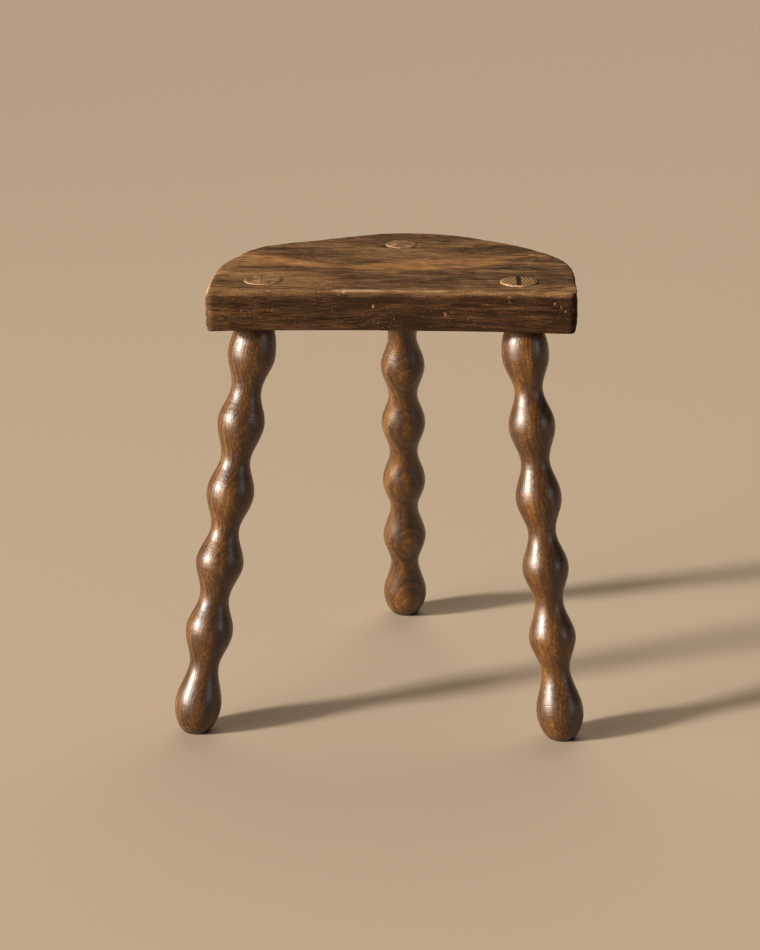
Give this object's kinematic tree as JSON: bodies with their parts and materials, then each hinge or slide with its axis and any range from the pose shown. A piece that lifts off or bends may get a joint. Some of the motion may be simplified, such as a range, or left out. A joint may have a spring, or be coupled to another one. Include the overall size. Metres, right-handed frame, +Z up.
{
  "type": "half-moon stool",
  "caption": "Country stool with a half-moon plank seat on raked, bobbin-turned legs, each held by a wedged round tenon that shows on the seat.",
  "frame": {"origin": "on the floor, under the middle of the box that the whole stool fills", "axes": "+Z up, -Y towards the front edge of the seat, +X to the right as seen from the front"},
  "size_m": [0.4098, 0.3694, 0.45],
  "materials": {
    "seat_wood": "old stain and wax, worn dry on top",
    "leg_wood": "turned, stained and varnished, glossy",
    "wedge_wood": "end grain, dark with age"
  },
  "bodies": {
    "root": {"seat": "seat_wood", "leg_front_left": "leg_wood", "leg_front_right": "leg_wood", "leg_rear": "leg_wood", "wedge_front_left": "wedge_wood", "wedge_front_right": "wedge_wood", "wedge_rear": "wedge_wood"}
  },
  "joints": []
}
